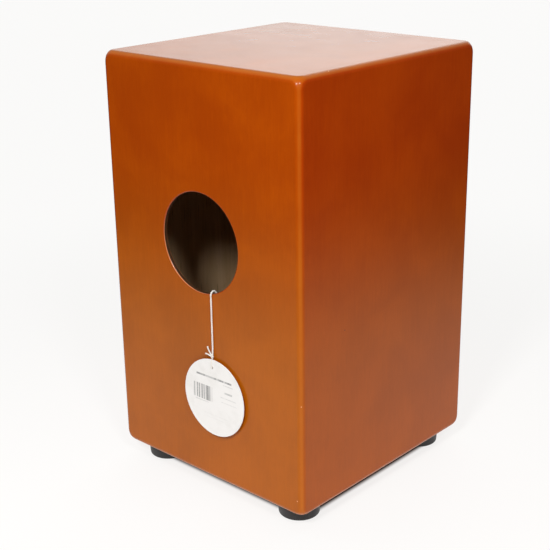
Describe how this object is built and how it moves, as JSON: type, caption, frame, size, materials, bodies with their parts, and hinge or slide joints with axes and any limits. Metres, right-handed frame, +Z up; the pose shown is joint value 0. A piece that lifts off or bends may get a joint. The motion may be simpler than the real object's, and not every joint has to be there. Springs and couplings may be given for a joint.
{
  "type": "cajon",
  "caption": "Wooden box drum with rounded edges, a round rear sound hole, snares behind its striking plate, rubber feet and a hanging card tag.",
  "frame": {"origin": "on the floor, under the middle of the box", "axes": "+Z up, +Y towards the tapa (the struck front plate), -Y towards the rear panel with the sound hole, +X across the box"},
  "size_m": [0.29, 0.3081, 0.5],
  "materials": {
    "stained_wood": "orange-brown stain under satin lacquer",
    "tapa_wood": "orange-brown stained veneer under satin lacquer",
    "raw_wood": "bare planed softwood",
    "foot_rubber": "moulded black rubber",
    "zinc_screws": "zinc-plated",
    "snare_steel": "bright spring steel",
    "cotton_string": "twisted off-white cotton",
    "tag_card": "smooth white card with plain grey printing"
  },
  "bodies": {
    "box": {"left_side_panel": "stained_wood", "right_side_panel": "stained_wood", "top_panel": "stained_wood", "bottom_panel": "stained_wood", "rear_panel": "stained_wood", "tapa": "tapa_wood", "tapa_screws": "zinc_screws", "left_front_batten": "raw_wood", "right_front_batten": "raw_wood", "top_front_batten": "raw_wood", "bottom_front_batten": "raw_wood", "left_rear_batten": "raw_wood", "right_rear_batten": "raw_wood", "top_rear_batten": "raw_wood", "bottom_rear_batten": "raw_wood", "crossbar": "raw_wood", "left_crossbar_block": "raw_wood", "right_crossbar_block": "raw_wood", "left_snare_plate": "snare_steel", "right_snare_plate": "snare_steel", "left_snare_wires": "snare_steel", "right_snare_wires": "snare_steel", "snare_screws": "zinc_screws", "rear_left_foot": "foot_rubber", "rear_right_foot": "foot_rubber", "front_left_foot": "foot_rubber", "front_right_foot": "foot_rubber", "foot_washers": "zinc_screws", "foot_screws": "zinc_screws", "tag_staple": "zinc_screws", "tag_string_inner": "cotton_string"},
    "hanging_string": {"tag_string": "cotton_string", "tag_knot": "cotton_string", "tag_string_tails": "cotton_string"},
    "card": {"tag_loop": "cotton_string", "tag_card": "tag_card"}
  },
  "joints": [
    {"name": "tag_swing", "type": "hinge", "parent": "box", "child": "hanging_string", "pos_m": [0.016, -0.1525, 0.24839], "axis": [0, 1, 0], "range_deg": [-60, 60]},
    {"name": "card_lift", "type": "hinge", "parent": "hanging_string", "child": "card", "pos_m": [0.016, -0.1535, 0.17659], "axis": [-1, 0, 0], "range_deg": [0, 110]}
  ]
}
